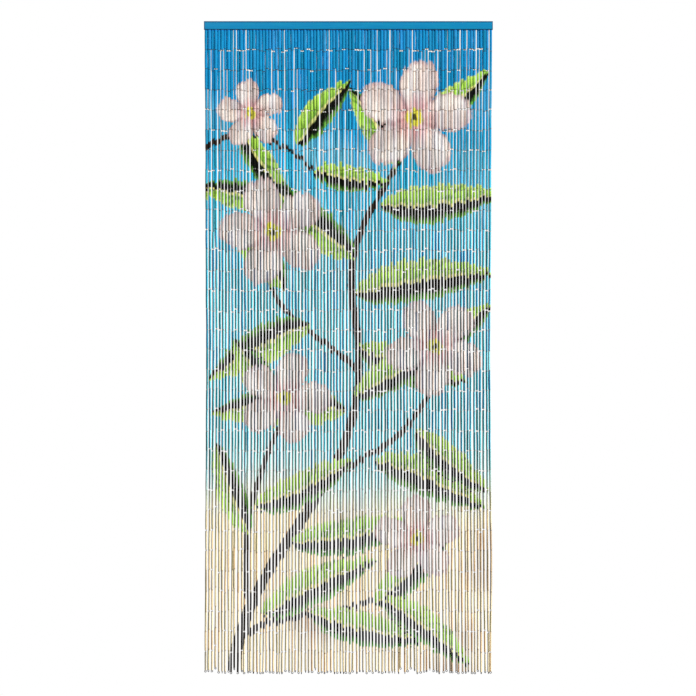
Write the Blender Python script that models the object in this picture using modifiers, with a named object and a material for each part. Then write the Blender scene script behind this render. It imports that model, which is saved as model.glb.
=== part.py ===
"""Bead curtain for a doorway: a slim painted wooden rail and ninety hanging
strands of thin cane tubes linked end to end with wire.

Metres, +Z up.  The curtain faces -Y.  The world origin is the centre of the
rail's rear face, the face that is screwed against the wall over the doorway.

Two named objects come out of this script:
  rail          the painted wooden slat
  strand_comb   the strands as one comb: a thin band that stands for the row
                of wire eyes under the rail, with one tapering tooth for each
                strand.  Every tooth has the true reach of its strand.
"""

import random

import bpy

# ---------------------------------------------------------------- sizes (m)
RAIL_WIDTH = 0.900        # left end to right end
RAIL_HEIGHT = 0.0262      # top edge to bottom edge
RAIL_DEPTH = 0.0120       # front face to rear face
RAIL_EDGE = 0.0006        # width of the eased edges

OVERALL_DROP = 2.0356     # top of the rail to the lowest strand end
STRAND_COUNT = 90
STRAND_PITCH = 0.00997    # centre to centre at the rail, on average
PLACE_SCATTER = 0.00015   # how far a strand strays from the even spacing; the teeth stay clear of each other
STRAND_DEPTH_POS = -RAIL_DEPTH / 2    # strands hang under the middle of the rail

FIT_GAP = 0.0003          # clear space between the rail and the comb
BAND_HEIGHT = 0.0030      # the row of wire eyes
BAND_DEPTH = 0.0060
TOOTH_SIDES_RESOLUTION = 2     # eight-sided teeth

RAGGED_ENDS = 0.0075      # how far the strand ends scatter above the lowest one
SHORT_STRAND = 0.0090     # how much shorter a strand with a short tube hangs
SHORT_SHARE = 0.09

# The strands from top to bottom.  Cane tubes are sorted by thickness, so each
# strand tapers, and the whole curtain draws in a little at mid height.
#   drop      share of the strand's own length, 0 at the rail, 1 at its end
#   width     outside width of the tubes, m
#   spread    distance from the middle there over the distance at the rail
#   wander    largest sideways stray of a strand, m
SECTION_COLUMNS = ("drop", "width", "spread", "wander")
SECTION_TABLE = (
    (0.00, 0.0095, 1.000, 0.00000),
    (0.18, 0.0086, 0.996, 0.00040),
    (0.48, 0.0074, 0.992, 0.00070),
    (0.80, 0.0065, 0.998, 0.00110),
    (1.00, 0.0058, 1.002, 0.00140),
)

RAIL_TOP_Z = RAIL_HEIGHT / 2
RAIL_BOTTOM_Z = -RAIL_HEIGHT / 2
COMB_TOP_Z = RAIL_BOTTOM_Z - FIT_GAP
LOWEST_Z = RAIL_TOP_Z - OVERALL_DROP

COLLECTION_NAME = "bead_curtain"


# ------------------------------------------------------------------ helpers
def clear_objects():
    for ob in list(bpy.data.objects):
        bpy.data.objects.remove(ob, do_unlink=True)


def own_collection():
    group = bpy.data.collections.get(COLLECTION_NAME)
    if group is None:
        group = bpy.data.collections.new(COLLECTION_NAME)
        bpy.context.scene.collection.children.link(group)
    return group


def keep_in(group, ob):
    for other in list(ob.users_collection):
        other.objects.unlink(ob)
    group.objects.link(ob)


def surface(name, colour, roughness, metallic=0.0):
    mat = bpy.data.materials.new(name)
    mat.use_nodes = True
    shader = mat.node_tree.nodes["Principled BSDF"]
    shader.inputs["Base Color"].default_value = (*colour, 1.0)
    shader.inputs["Roughness"].default_value = roughness
    shader.inputs["Metallic"].default_value = metallic
    mat.diffuse_color = (*colour, 1.0)
    return mat


def block(name, size, centre):
    """A box of the given size, with its scale applied."""
    bpy.ops.mesh.primitive_cube_add(size=1.0, location=centre)
    ob = bpy.context.active_object
    ob.name = name
    ob.data.name = name
    ob.scale = size
    bpy.ops.object.transform_apply(location=False, rotation=False, scale=True)
    return ob


def sections():
    return [dict(zip(SECTION_COLUMNS, row)) for row in SECTION_TABLE]


def hanging_places(rng):
    """Where the strands hang along the rail: evenly spaced, each a hair out of line."""
    middle = (STRAND_COUNT - 1) / 2
    return [(index - middle) * STRAND_PITCH + PLACE_SCATTER * rng.uniform(-1.0, 1.0)
            for index in range(STRAND_COUNT)]


def strand_end(rng):
    """Height of a strand's lower end."""
    end = LOWEST_Z + RAGGED_ENDS * rng.random() ** 1.4
    if rng.random() < SHORT_SHARE:
        end += SHORT_STRAND
    return end


def teeth(group):
    """All the strands as one mesh of tapering tubes, made from one curve."""
    rng = random.Random(90)
    places = hanging_places(rng)
    curve = bpy.data.curves.new("strand_teeth", "CURVE")
    curve.dimensions = "3D"
    curve.bevel_depth = 1.0                    # a point's radius is then in metres
    curve.bevel_resolution = TOOTH_SIDES_RESOLUTION
    curve.use_fill_caps = True
    start_z = COMB_TOP_Z - BAND_HEIGHT / 2
    longest = rng.randrange(STRAND_COUNT)
    for index in range(STRAND_COUNT):
        across = places[index]
        end_z = strand_end(rng)
        if index == longest:
            end_z = LOWEST_Z
        rows = sections()
        spline = curve.splines.new("POLY")
        spline.points.add(len(rows) - 1)
        for point, row in zip(spline.points, rows):
            stray = row["wander"] * rng.uniform(-1.0, 1.0)
            z = start_z + (end_z - start_z) * row["drop"]
            x = across * row["spread"] + stray
            point.co = (x, STRAND_DEPTH_POS, z, 1.0)
            point.radius = row["width"] / 2
    ob = bpy.data.objects.new("strand_teeth", curve)
    group.objects.link(ob)
    bpy.ops.object.select_all(action="DESELECT")
    ob.select_set(True)
    bpy.context.view_layer.objects.active = ob
    bpy.ops.object.convert(target="MESH")
    ob = bpy.context.active_object
    weld = ob.modifiers.new("weld", "WELD")
    weld.merge_threshold = 0.00001
    bpy.ops.object.modifier_apply(modifier=weld.name)
    return ob


# ------------------------------------------------------------------- pieces
def make_rail(group):
    ob = block("rail", (RAIL_WIDTH, RAIL_DEPTH, RAIL_HEIGHT),
               (0.0, -RAIL_DEPTH / 2, 0.0))
    keep_in(group, ob)
    eased = ob.modifiers.new("eased_edges", "BEVEL")
    eased.width = RAIL_EDGE
    eased.segments = 1
    ob.data.materials.append(surface("rail_paint", (0.012, 0.235, 0.445), 0.45))
    return ob


def make_comb(group):
    length = (STRAND_COUNT - 1) * STRAND_PITCH + SECTION_TABLE[0][1] * 0.7
    ob = block("strand_comb", (length, BAND_DEPTH, BAND_HEIGHT),
               (0.0, STRAND_DEPTH_POS, COMB_TOP_Z - BAND_HEIGHT / 2))
    keep_in(group, ob)
    tubes = teeth(group)
    join = ob.modifiers.new("teeth", "BOOLEAN")
    join.operation = "UNION"
    join.solver = "EXACT"
    join.object = tubes
    bpy.context.view_layer.objects.active = ob
    bpy.ops.object.modifier_apply(modifier=join.name)
    bpy.data.objects.remove(tubes, do_unlink=True)
    ob.data.materials.clear()
    ob.data.materials.append(surface("painted_cane", (0.30, 0.47, 0.50), 0.50))
    return ob


def main():
    clear_objects()
    group = own_collection()
    make_rail(group)
    make_comb(group)


main()
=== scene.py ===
import math
import random

import bmesh
import bpy
import numpy as np
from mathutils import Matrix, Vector


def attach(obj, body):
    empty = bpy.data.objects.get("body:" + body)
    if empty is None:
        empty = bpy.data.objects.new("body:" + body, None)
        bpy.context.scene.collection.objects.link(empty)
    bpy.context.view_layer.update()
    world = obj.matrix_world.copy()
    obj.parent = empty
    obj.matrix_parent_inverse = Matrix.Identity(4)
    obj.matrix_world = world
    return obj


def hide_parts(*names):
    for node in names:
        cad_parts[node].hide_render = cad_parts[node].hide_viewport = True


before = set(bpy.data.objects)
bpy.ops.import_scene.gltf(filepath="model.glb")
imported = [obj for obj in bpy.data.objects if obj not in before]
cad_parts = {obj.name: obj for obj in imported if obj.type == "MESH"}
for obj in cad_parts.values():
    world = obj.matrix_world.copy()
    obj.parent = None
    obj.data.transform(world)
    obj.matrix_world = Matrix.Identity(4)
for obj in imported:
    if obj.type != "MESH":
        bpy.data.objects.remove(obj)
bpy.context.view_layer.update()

# ===================================================================== sizes
# The same sizes as the construction, in metres.
RAIL_WIDTH = 0.900
RAIL_HEIGHT = 0.0262
RAIL_DEPTH = 0.0120
OVERALL_DROP = 2.0356
STRAND_COUNT = 90
STRAND_PITCH = 0.00997
PLACE_SCATTER = 0.00015
STRAND_DEPTH_POS = -RAIL_DEPTH / 2
FIT_GAP = 0.0003
BAND_HEIGHT = 0.0030
RAGGED_ENDS = 0.0075
SHORT_STRAND = 0.0090
SHORT_SHARE = 0.09
SECTION_COLUMNS = ("drop", "width", "spread", "wander")
SECTION_TABLE = (
    (0.00, 0.0095, 1.000, 0.00000),
    (0.18, 0.0086, 0.996, 0.00040),
    (0.48, 0.0074, 0.992, 0.00070),
    (0.80, 0.0065, 0.998, 0.00110),
    (1.00, 0.0058, 1.002, 0.00140),
)
RAIL_TOP_Z = RAIL_HEIGHT / 2
RAIL_BOTTOM_Z = -RAIL_HEIGHT / 2
COMB_TOP_Z = RAIL_BOTTOM_Z - FIT_GAP
LOWEST_Z = RAIL_TOP_Z - OVERALL_DROP

# The tubes and their wires
TUBES = 32                 # tubes to a strand
TOP_GAP = 0.0005           # rail to the first tube
SHUT_GAP = (0.0003, 0.0009)    # tube to tube where a joint sits close
OPEN_GAP = (0.0028, 0.0048)    # and where it hangs open
OPEN_SHARE = (0.0, 0.42, 0.18, 0.18, 0.22, 0.25)    # share of the joints that hang open, row by row, the last for all below
OPEN_LEAN = 0.45           # how much more often they do at the right end of the first rows, and less at the left
JOINT_SCATTER = 0.0042     # how far a joint strays from its row, each way
STRAND_SHIFT = 0.0030      # how far a whole strand sits high or low
SIDES = 11
WALL_BANDS = 6
BORE_SHARE = 0.66          # bore over outside width
BORE_DEPTH = 0.0042
EYE_RADIUS = 0.0032        # end eye, to the middle of the wire
EYE_WIRE = 0.00102         # radius of its wire
EYE_STEPS, EYE_SIDES = 20, 6
LINK_WIRE = 0.00040
LINK_WIDE = 0.00120        # joint ring, half width to the middle of the wire
LINK_HIGH = 0.00170        # joint ring, half height
OPEN_RING = (8, 4)         # steps round and sides of the wire, at a joint that hangs open
SHUT_RING = (6, 3)         # and at one that sits close
FORE_AND_AFT = 0.0017      # at the rail the strands stand up to this far before or behind the row's middle
STRANDS_FROM_END = 0.0018  # rail end to the first strand's edge, at least

# Share of the seams between strands that stand open: tube number, share.  At a
# closed seam the two strands touch.
SEAM_COLUMNS = ("tube", "open")
SEAM_TABLE = (
    (0, 0.135),
    (1, 0.34),
    (2, 0.43),
    (4, 0.66),
    (7, 0.86),
    (10, 0.98),
    (12, 1.20),
    (32, 1.20),
)
# The seams that open first, counted from the left end of the rail
FIRST_OPEN = (8, 24, 57, 12, 84, 38, 64, 9, 79, 53, 81, 88,
              75, 1, 67, 49, 20, 4, 78, 27, 72, 56, 11, 82, 68, 51, 85, 63, 69,
              5, 47, 54, 86, 6, 13, 22, 28, 40, 59, 66, 41)
SLIT = (0.0012, 0.0027)    # width of an open seam in the upper rows
HOLD = (0.16, 0.16, 0.18, 0.32, 0.60)    # how firmly the first tubes keep their own width against their seams

# Outside width of the tubes down a strand: tube number, width in metres
TUBE_COLUMNS = ("tube", "width")
TUBE_TABLE = (
    (0, 0.00985),
    (2, 0.00950),
    (5, 0.00860),
    (10, 0.00768),
    (15, 0.00700),
    (20, 0.00656),
    (26, 0.00612),
    (31, 0.00570),
)

STRANDS_PER_PIECE = 6
STRANDS_PER_WIRE_PIECE = 30


# ============================================================ the photo's view
CAMERA_DISTANCE = 6.0
FRAME_HEIGHT_M = 2.1700            # what the 696 px frame takes in at the curtain
FRAME_CENTRE_Z = RAIL_TOP_Z - 1.0182

bpy.context.scene.view_settings.view_transform = "Standard"
bpy.context.scene.view_settings.look = "None"

cam_data = bpy.data.cameras.new("camera")
cam = bpy.data.objects.new("camera", cam_data)
bpy.context.scene.collection.objects.link(cam)
cam_data.sensor_width = 36.0
cam_data.lens = 36.0 * (CAMERA_DISTANCE + STRAND_DEPTH_POS) / FRAME_HEIGHT_M
cam.location = (-0.0012, -CAMERA_DISTANCE, FRAME_CENTRE_Z)
cam.rotation_euler = (math.radians(90), 0.0, 0.0)
bpy.context.scene.camera = cam


def area_light(name, place, aim, size, power, colour=(1, 1, 1)):
    data = bpy.data.lights.new(name, "AREA")
    data.shape = "RECTANGLE"
    data.size, data.size_y = size
    data.energy = power
    data.color = colour
    lamp = bpy.data.objects.new(name, data)
    bpy.context.scene.collection.objects.link(lamp)
    lamp.location = place
    lamp.rotation_euler = (Vector(aim) - Vector(place)).to_track_quat("-Z", "Y").to_euler()
    return lamp


area_light("key_light", (5.60, -3.40, 4.70), (0.0, 0.0, -1.0), (2.8, 2.8), 1150.0, (1.0, 0.99, 0.97))
area_light("top_fill", (-1.37, -2.20, 1.20), (0.0, 0.0, -0.3), (1.4, 1.4), 40.0, (0.98, 0.99, 1.0))
back = area_light("back_light", (0.0, 6.5, 2.4), (0.0, 0.0, -1.0), (2.4, 1.6), 420.0, (0.98, 0.99, 1.0))
back.visible_camera = False

world = bpy.data.worlds.new("studio")
bpy.context.scene.world = world
world.use_nodes = True
wn, wl = world.node_tree.nodes, world.node_tree.links
wn.clear()
w_out = wn.new("ShaderNodeOutputWorld")
w_mix = wn.new("ShaderNodeMixShader")
w_path = wn.new("ShaderNodeLightPath")
w_soft = wn.new("ShaderNodeBackground")
w_seen = wn.new("ShaderNodeBackground")
w_soft.inputs["Color"].default_value = (1.0, 1.0, 1.0, 1.0)
w_soft.inputs["Strength"].default_value = 0.22
w_seen.inputs["Color"].default_value = (1.0, 1.0, 1.0, 1.0)
w_seen.inputs["Strength"].default_value = 1.0
wl.new(w_path.outputs["Is Camera Ray"], w_mix.inputs[0])
wl.new(w_soft.outputs[0], w_mix.inputs[1])
wl.new(w_seen.outputs[0], w_mix.inputs[2])
wl.new(w_mix.outputs[0], w_out.inputs["Surface"])


# ============================================================== strand layout
def hanging_places(rng):
    """Where the strands hang along the rail: evenly spaced, each a hair out of line."""
    middle = (STRAND_COUNT - 1) / 2
    return [(index - middle) * STRAND_PITCH + PLACE_SCATTER * rng.uniform(-1.0, 1.0)
            for index in range(STRAND_COUNT)]


def strand_lines():
    """For each strand: where it hangs, heights and sideways places of its sections, and its end.
    The same sums in the same order as the construction's, so the strands follow its teeth."""
    rng = random.Random(90)
    places = hanging_places(rng)
    start_z = COMB_TOP_Z - BAND_HEIGHT / 2
    longest = rng.randrange(STRAND_COUNT)
    lines = []
    for index in range(STRAND_COUNT):
        end = LOWEST_Z + RAGGED_ENDS * rng.random() ** 1.4
        if rng.random() < SHORT_SHARE:
            end += SHORT_STRAND
        if index == longest:
            end = LOWEST_Z
        zs, xs = [], []
        for drop, _, spread, wander in SECTION_TABLE:
            stray = wander * rng.uniform(-1.0, 1.0)
            zs.append(start_z + (end - start_z) * drop)
            xs.append(places[index] * spread + stray)
        lines.append((np.array(zs), np.array(xs), end))
    return lines


def smooth_noise(rng, rows, count, steps):
    """One gentle random curve from -1 to 1 for each strand, over that many rows."""
    knots = rng.uniform(-1, 1, (count, max(2, rows // steps + 3)))
    at = np.linspace(0, knots.shape[1] - 1.001, rows)
    low = at.astype(int)
    t = at - low
    t = t * t * (3 - 2 * t)
    return knots[:, low] * (1 - t) + knots[:, low + 1] * t


def beside(width, y, clear):
    """How far apart neighbours stand sideways when they touch, one a little before the other."""
    reach = (width[1:] + width[:-1]) / 2 + clear
    return np.sqrt(reach ** 2 - np.minimum(np.abs(y[1:] - y[:-1]), reach * 0.6) ** 2)


def spaced(x, y, width, low, high, clear=0.00002):
    """Strands side by side can touch but not pass through each other."""
    x = x.copy()
    for _ in range(220):
        need = beside(width, y, clear) - (x[1:] - x[:-1])
        push = np.maximum(need, 0) * 0.5
        x[:-1] -= push
        x[1:] += push
        x = np.clip(x, low, high)
    return x


lines = strand_lines()
rng = np.random.default_rng(7)
N, T = STRAND_COUNT, TUBES

# Joint heights: row 0 is the top of the first tube, row T the bottom of the last
top_z = np.full(N, RAIL_BOTTOM_Z - TOP_GAP)
end_z = np.array([line[2] for line in lines])
last_z = end_z + EYE_RADIUS * 2 + EYE_WIRE - 0.0006
pitch = (top_z - last_z) / T
joint_z = top_z[:, None] - pitch[:, None] * np.arange(T + 1)[None, :]
stray_z = STRAND_SHIFT * smooth_noise(rng, T + 1, N, 12) + rng.uniform(-1, 1, (N, T + 1)) * JOINT_SCATTER
stray_z[:, 0] = stray_z[:, T] = 0.0
joint_z += stray_z
open_rows = np.array([OPEN_SHARE[min(k, len(OPEN_SHARE) - 1)] for k in range(T + 1)])
lean = 1 + OPEN_LEAN * np.linspace(-1, 1, N)[:, None] * np.interp(np.arange(T + 1), [3, 6], [1.0, 0.0])[None, :]
gap = np.where(rng.random((N, T + 1)) < open_rows[None, :] * lean,
               rng.uniform(*OPEN_GAP, (N, T + 1)), rng.uniform(*SHUT_GAP, (N, T + 1)))
tube_top = joint_z[:, :T] - gap[:, :T] / 2
tube_low = joint_z[:, 1:] + gap[:, 1:] / 2
tube_top[:, 0] = top_z
tube_low[:, T - 1] = last_z

# Widths
numbers = [row[0] for row in TUBE_TABLE]
widths = [row[1] for row in TUBE_TABLE]
width = np.interp(np.arange(T), numbers, widths)[None, :] * np.ones((N, 1))
width *= 1 + 0.020 * np.clip(rng.normal(0, 1, (N, 1)), -1.8, 1.8)
vary = np.interp(np.arange(T), [0, 3, 8, T - 1], [0.014, 0.030, 0.045, 0.060])[None, :]
width *= 1 + vary * np.clip(rng.normal(0, 1, (N, T)), -1.8, 1.8)
width = np.minimum(width, 0.0104)
taper = rng.uniform(-1, 1, (N, T)) * np.interp(np.arange(T), [0, 8, T - 1], [0.012, 0.035, 0.045])[None, :]

# Sideways places of every tube's upper and lower end
wander = np.interp(np.arange(T + 1), [0, 1, 4, 12, 18, T], [0.0, 0.0003, 0.0005, 0.0006, 0.0010, 0.0022])
joint_x = np.array([np.interp(-joint_z[i], -lines[i][0], lines[i][1]) for i in range(N)])
joint_x += smooth_noise(rng, T + 1, N, 7) * wander
joint_x += rng.uniform(-1, 1, (N, T + 1)) * np.interp(np.arange(T + 1), [0, 1, T], [0.0, 0.0003, 0.0003])

# Seams open from the rail down: the seam with the lowest rank first
rank = rng.permutation(N - 1) / (N - 1) * 0.50 + 0.50
rank[list(FIRST_OPEN)] = (np.arange(len(FIRST_OPEN)) + 0.5) / (N - 1)
stir = 0.05 * smooth_noise(rng, T + 1, N - 1, 3) + 0.03 * rng.uniform(-1, 1, (N - 1, T + 1))
stir *= np.interp(np.arange(T + 1), [0, 1, 4, T], [0.0, 0.4, 1.0, 1.0])[None, :]
open_share = np.interp(np.arange(T + 1), [row[0] for row in SEAM_TABLE], [row[1] for row in SEAM_TABLE])
seam_open = rank[:, None] + stir < open_share[None, :]


def gathered(x, y, width, is_open, clear=0.00002):
    """The strands between two open seams hang together as one touching group."""
    x = x.copy()
    starts = [0] + [i + 1 for i in range(len(is_open)) if is_open[i]] + [len(x)]
    for a, b in zip(starts[:-1], starts[1:]):
        if b - a < 2:
            continue
        steps = beside(width[a:b], y[a:b], clear)
        offsets = np.concatenate([[0.0], np.cumsum(steps)])
        x[a:b] = offsets + np.mean(x[a:b] - offsets)
    return x


joint_y = STRAND_DEPTH_POS + smooth_noise(rng, T + 1, N, 6) * 0.0007
turns = np.zeros(N)
for i in range(1, N):
    step = rng.uniform(0.75, 1.15)
    ways = [w for w in (-step, step) if abs(turns[i - 1] + w) <= 1.0]
    turns[i] = turns[i - 1] + (ways[rng.integers(len(ways))] if ways else -np.sign(turns[i - 1]) * step)
joint_y += turns[:, None] * FORE_AND_AFT * np.interp(np.arange(T + 1), [0, 3, 7, 14, T], [1.0, 1.0, 0.70, 0.35, 0.25])
upper_y = joint_y[:, :T] + rng.uniform(-1, 1, (N, T)) * 0.0002
lower_y = joint_y[:, 1:] + rng.uniform(-1, 1, (N, T)) * 0.0002
upper_y[:, 0] = STRAND_DEPTH_POS + turns * FORE_AND_AFT

slit = rng.uniform(*SLIT, (N - 1, 1)) + rng.uniform(-0.0003, 0.0003, (N - 1, T))
slit[list(FIRST_OPEN[:12])] += 0.0005


def fitted(k):
    """Widths of one row of tubes that leave its open seams open and fill the others."""
    place = (joint_x[:, k] + joint_x[:, k + 1]) / 2
    apart = np.diff(place)
    before = np.diff((upper_y[:, k] + lower_y[:, k]) / 2)
    wanted = np.where(seam_open[:, k], apart - slit[:, k], np.sqrt(apart ** 2 + before ** 2))
    pairs = (np.eye(N) + np.eye(N, k=1))[:-1] / 2
    hold = HOLD[k]
    fit = np.linalg.solve(pairs.T @ pairs + hold * np.eye(N), pairs.T @ wanted + hold * width[:, k])
    return np.clip(fit, 0.0080, 0.0107)


for k in range(len(HOLD)):
    width[:, k] = fitted(k)

upper_x = np.empty((N, T))
lower_x = np.empty((N, T))
for k in range(T):
    limit = RAIL_WIDTH / 2 - STRANDS_FROM_END - width[:, k] / 2
    w = width[:, k]
    below = k if k < len(HOLD) else k + 1
    upper_x[:, k] = spaced(gathered(joint_x[:, k], upper_y[:, k], w, seam_open[:, k]), upper_y[:, k], w, -limit, limit)
    lower_x[:, k] = spaced(gathered(joint_x[:, k + 1], lower_y[:, k], w, seam_open[:, below]), lower_y[:, k], w,
                           -limit, limit)


# =================================================================== the paint
# A generic garden spray in the curtain's own colours.  All places are in
# metres: x across from the middle, z down from the rail's rear-face centre.
def srgb(r, g, b):
    c = np.array([r, g, b], float) / 255.0
    return np.where(c <= 0.04045, c / 12.92, ((c + 0.055) / 1.055) ** 2.4)


GROUND_COLUMNS = ("z", "red", "green", "blue")
GROUND_TABLE = (
    (-0.00, 9, 126, 180),
    (-0.20, 15, 139, 193),
    (-0.45, 43, 171, 211),
    (-0.64, 72, 194, 226),
    (-0.95, 90, 211, 234),
    (-1.17, 80, 207, 229),
    (-1.31, 104, 215, 232),
    (-1.39, 162, 226, 230),
    (-1.46, 216, 224, 202),
    (-1.54, 240, 222, 180),
    (-1.78, 238, 218, 178),
    (-2.05, 234, 216, 180),
)
SAND_SHADE = srgb(150, 120, 104)
SKY_LIGHT = srgb(140, 206, 226)

# Curving stems: start, two pulls and end of a curve, half width at both ends
STEM_COLUMNS = ("x0", "z0", "x1", "z1", "x2", "z2", "x3", "z3", "thick", "thin")
STEM_TABLE = (
    (-0.36, -2.04, -0.34, -1.60, 0.12, -1.45, 0.02, -0.90, 0.0200, 0.0120),
    (0.02, -0.90, -0.03, -0.66, 0.10, -0.55, 0.17, -0.40, 0.0120, 0.0080),
    (-0.315, -1.78, -0.33, -1.55, -0.30, -1.45, -0.22, -1.26, 0.0110, 0.0080),
    (0.035, -1.08, -0.10, -0.95, -0.22, -0.92, -0.25, -0.78, 0.0100, 0.0070),
    (-0.08, -1.42, 0.04, -1.34, 0.20, -1.30, 0.26, -1.12, 0.0110, 0.0080),
    (-0.33, -1.90, -0.16, -1.80, 0.06, -1.86, 0.17, -1.72, 0.0110, 0.0080),
    (-0.47, -0.40, -0.36, -0.30, -0.20, -0.34, -0.09, -0.47, 0.0100, 0.0060),
)

# Lance-shaped leaves: foot, length, half width, heading in degrees (0 is +x,
# 90 is up), how far the tip bends to the left, and how light the leaf is
LEAF_COLUMNS = ("x", "z", "length", "half", "heading", "bend", "tone")
LEAF_TABLE = (
    (-0.16, -0.37, 0.26, 0.062, 58, -0.14, 0.85),
    (-0.33, -0.335, 0.24, 0.056, -62, 0.14, 0.70),
    (-0.11, -0.45, 0.24, 0.058, -18, 0.16, 1.00),
    (0.15, -0.44, 0.28, 0.066, 112, 0.16, 0.75),
    (0.23, -0.30, 0.26, 0.064, 28, 0.16, 0.90),
    (0.10, -0.56, 0.38, 0.080, -2, 0.14, 0.90),
    (0.02, -0.72, 0.36, 0.078, 146, -0.14, 0.80),
    (0.02, -0.84, 0.44, 0.088, 18, -0.16, 1.00),
    (0.03, -1.00, 0.36, 0.076, -26, 0.14, 0.70),
    (-0.24, -0.56, 0.24, 0.060, 158, 0.16, 0.80),
    (-0.12, -0.93, 0.36, 0.080, 200, 0.16, 1.00),
    (-0.20, -0.82, 0.28, 0.064, 122, 0.14, 0.65),
    (0.26, -1.04, 0.26, 0.064, 52, -0.16, 0.85),
    (-0.22, -1.22, 0.28, 0.068, 112, 0.14, 0.80),
    (-0.01, -1.20, 0.42, 0.086, 172, 0.16, 1.00),
    (0.02, -1.16, 0.28, 0.066, 36, -0.14, 0.85),
    (0.08, -1.35, 0.38, 0.076, -16, -0.14, 0.75),
    (0.21, -1.26, 0.30, 0.066, -48, 0.14, 1.00),
    (-0.29, -1.50, 0.34, 0.072, 18, 0.14, 0.90),
    (-0.31, -1.58, 0.30, 0.062, 118, -0.14, 1.00),
    (-0.18, -1.61, 0.40, 0.076, 2, 0.14, 0.75),
    (-0.27, -1.84, 0.40, 0.078, 34, -0.14, 1.00),
    (-0.12, -1.83, 0.38, 0.074, -20, 0.12, 0.65),
    (0.08, -1.80, 0.36, 0.072, 38, 0.14, 0.95),
    (0.11, -1.79, 0.34, 0.068, -30, -0.12, 1.00),
)

# Five-petalled blossoms: middle, reach of the petals, turn in degrees, tone
BLOOM_COLUMNS = ("x", "z", "reach", "turn", "tone")
BLOOM_TABLE = (
    (0.205, -0.290, 0.185, 14, 1.00),
    (-0.235, -0.640, 0.175, 40, 0.94),
    (0.270, -1.000, 0.160, 52, 1.00),
    (-0.200, -1.160, 0.150, 5, 0.97),
    (0.215, -1.600, 0.140, 24, 0.95),
    (-0.305, -0.275, 0.110, 30, 0.94),
)


def curve_points(row, count=28):
    t = np.linspace(0, 1, count)[:, None]
    a, b, c, d = (np.array(row[i:i + 2]) for i in (0, 2, 4, 6))
    p = (1 - t) ** 3 * a + 3 * (1 - t) ** 2 * t * b + 3 * (1 - t) * t * t * c + t ** 3 * d
    return p, row[8] + (row[9] - row[8]) * t[:, 0]


def stem_distance(x, z):
    """Distance outside the nearest stem's edge, negative inside."""
    best = np.full(x.shape, 1.0)
    for row in STEM_TABLE:
        points, half = curve_points(row)
        for a, b, ha, hb in zip(points[:-1], points[1:], half[:-1], half[1:]):
            d = b - a
            t = np.clip(((x - a[0]) * d[0] + (z - a[1]) * d[1]) / (d @ d), 0, 1)
            away = np.hypot(x - a[0] - d[0] * t, z - a[1] - d[1] * t) - (ha + (hb - ha) * t)
            best = np.minimum(best, away)
    return best


def leaf_fields(x, z):
    """Distance outside the leaves, and for the leaf on top: place along it, place across it from -1 to 1, its tone."""
    best = np.full(x.shape, 1.0)
    along = np.zeros(x.shape)
    across = np.zeros(x.shape)
    tone = np.zeros(x.shape)
    for fx, fz, length, half, heading, bend, light in LEAF_TABLE:
        c, s = math.cos(math.radians(heading)), math.sin(math.radians(heading))
        u = ((x - fx) * c + (z - fz) * s) / length
        v = (-(x - fx) * s + (z - fz) * c)
        v = v - bend * length * np.clip(u, -0.1, 1.2) ** 2
        inside = np.clip(u, 0.0, 1.0)
        edge = half * 2.05 * inside ** 0.62 * (1 - inside) ** 0.86
        away = np.abs(v) - edge
        beyond = np.maximum(np.maximum(-u, u - 1), 0) * length
        away = np.hypot(np.maximum(away, 0), beyond) + np.minimum(away, 0) * (beyond == 0)
        nearer = (away < 0.0) | (away < best)
        best = np.minimum(away, best)
        along = np.where(nearer, u, along)
        across = np.where(nearer, np.clip(v / (edge + 0.004), -1.4, 1.4), across)
        tone = np.where(nearer, light, tone)
    return best, along, across, tone


def bloom_fields(x, z):
    """For the nearest blossom: distance from its middle over its reach, and the place in its own turned frame."""
    best = np.full(x.shape, 9.0)
    px, pz, tone = np.zeros(x.shape), np.zeros(x.shape), np.zeros(x.shape)
    for cx, cz, size, turn, light in BLOOM_TABLE:
        dx, dz = (x - cx) / size, (z - cz) / size
        r = np.hypot(dx, dz)
        c, s = math.cos(math.radians(turn)), math.sin(math.radians(turn))
        nearer = r < best
        best = np.where(nearer, r, best)
        px = np.where(nearer, dx * c + dz * s, px)
        pz = np.where(nearer, -dx * s + dz * c, pz)
        tone = np.where(nearer, light, tone)
    return best, px, pz, tone


def ground_colour(x, z):
    """Blended bands of colour with soft drifting patches."""
    table = np.array(GROUND_TABLE, float)
    sway = 0.030 * np.sin(x * 7.0 + 0.6) + 0.016 * np.sin(x * 17.0 + 2.0)
    zz = z + sway * np.clip(-z / 0.4, 0, 1)
    rgb = np.stack([np.interp(-zz, -table[:, 0], [srgb(*row[1:])[i] for row in GROUND_TABLE]) for i in range(3)], -1)
    patch = (np.sin(x * 9.0 + z * 6.0 + 1.2) * np.sin(x * 4.0 - z * 11.0 + 0.4)
             + 0.5 * np.sin(x * 21.0 + z * 15.0) * np.sin(z * 23.0 - x * 6.0))
    low = np.clip((-z - 1.42) / 0.18, 0, 1)
    shade = np.clip(patch - 0.30, 0, 1) * low * 0.75
    rgb = rgb * (1 - shade[..., None]) + SAND_SHADE * shade[..., None]
    high = np.clip((1.22 + z) / 0.3, 0, 1)
    light = np.clip(patch - 0.10, 0, 1) * high * np.clip((-z - 0.12) / 0.22, 0, 1) * 0.40
    rgb = rgb * (1 - light[..., None]) + SKY_LIGHT * light[..., None]
    return rgb


# ============================================================= the cane tubes
def profile():
    """The rings of a tube from its lower end to its upper one: place along it, kind and share of the radius."""
    rings = [("floor", 0.0), ("mouth", 0.0)]
    rings += [("wall", k / WALL_BANDS) for k in range(WALL_BANDS + 1)]
    rings += [("mouth", 1.0), ("floor", 1.0)]
    return rings


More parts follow.
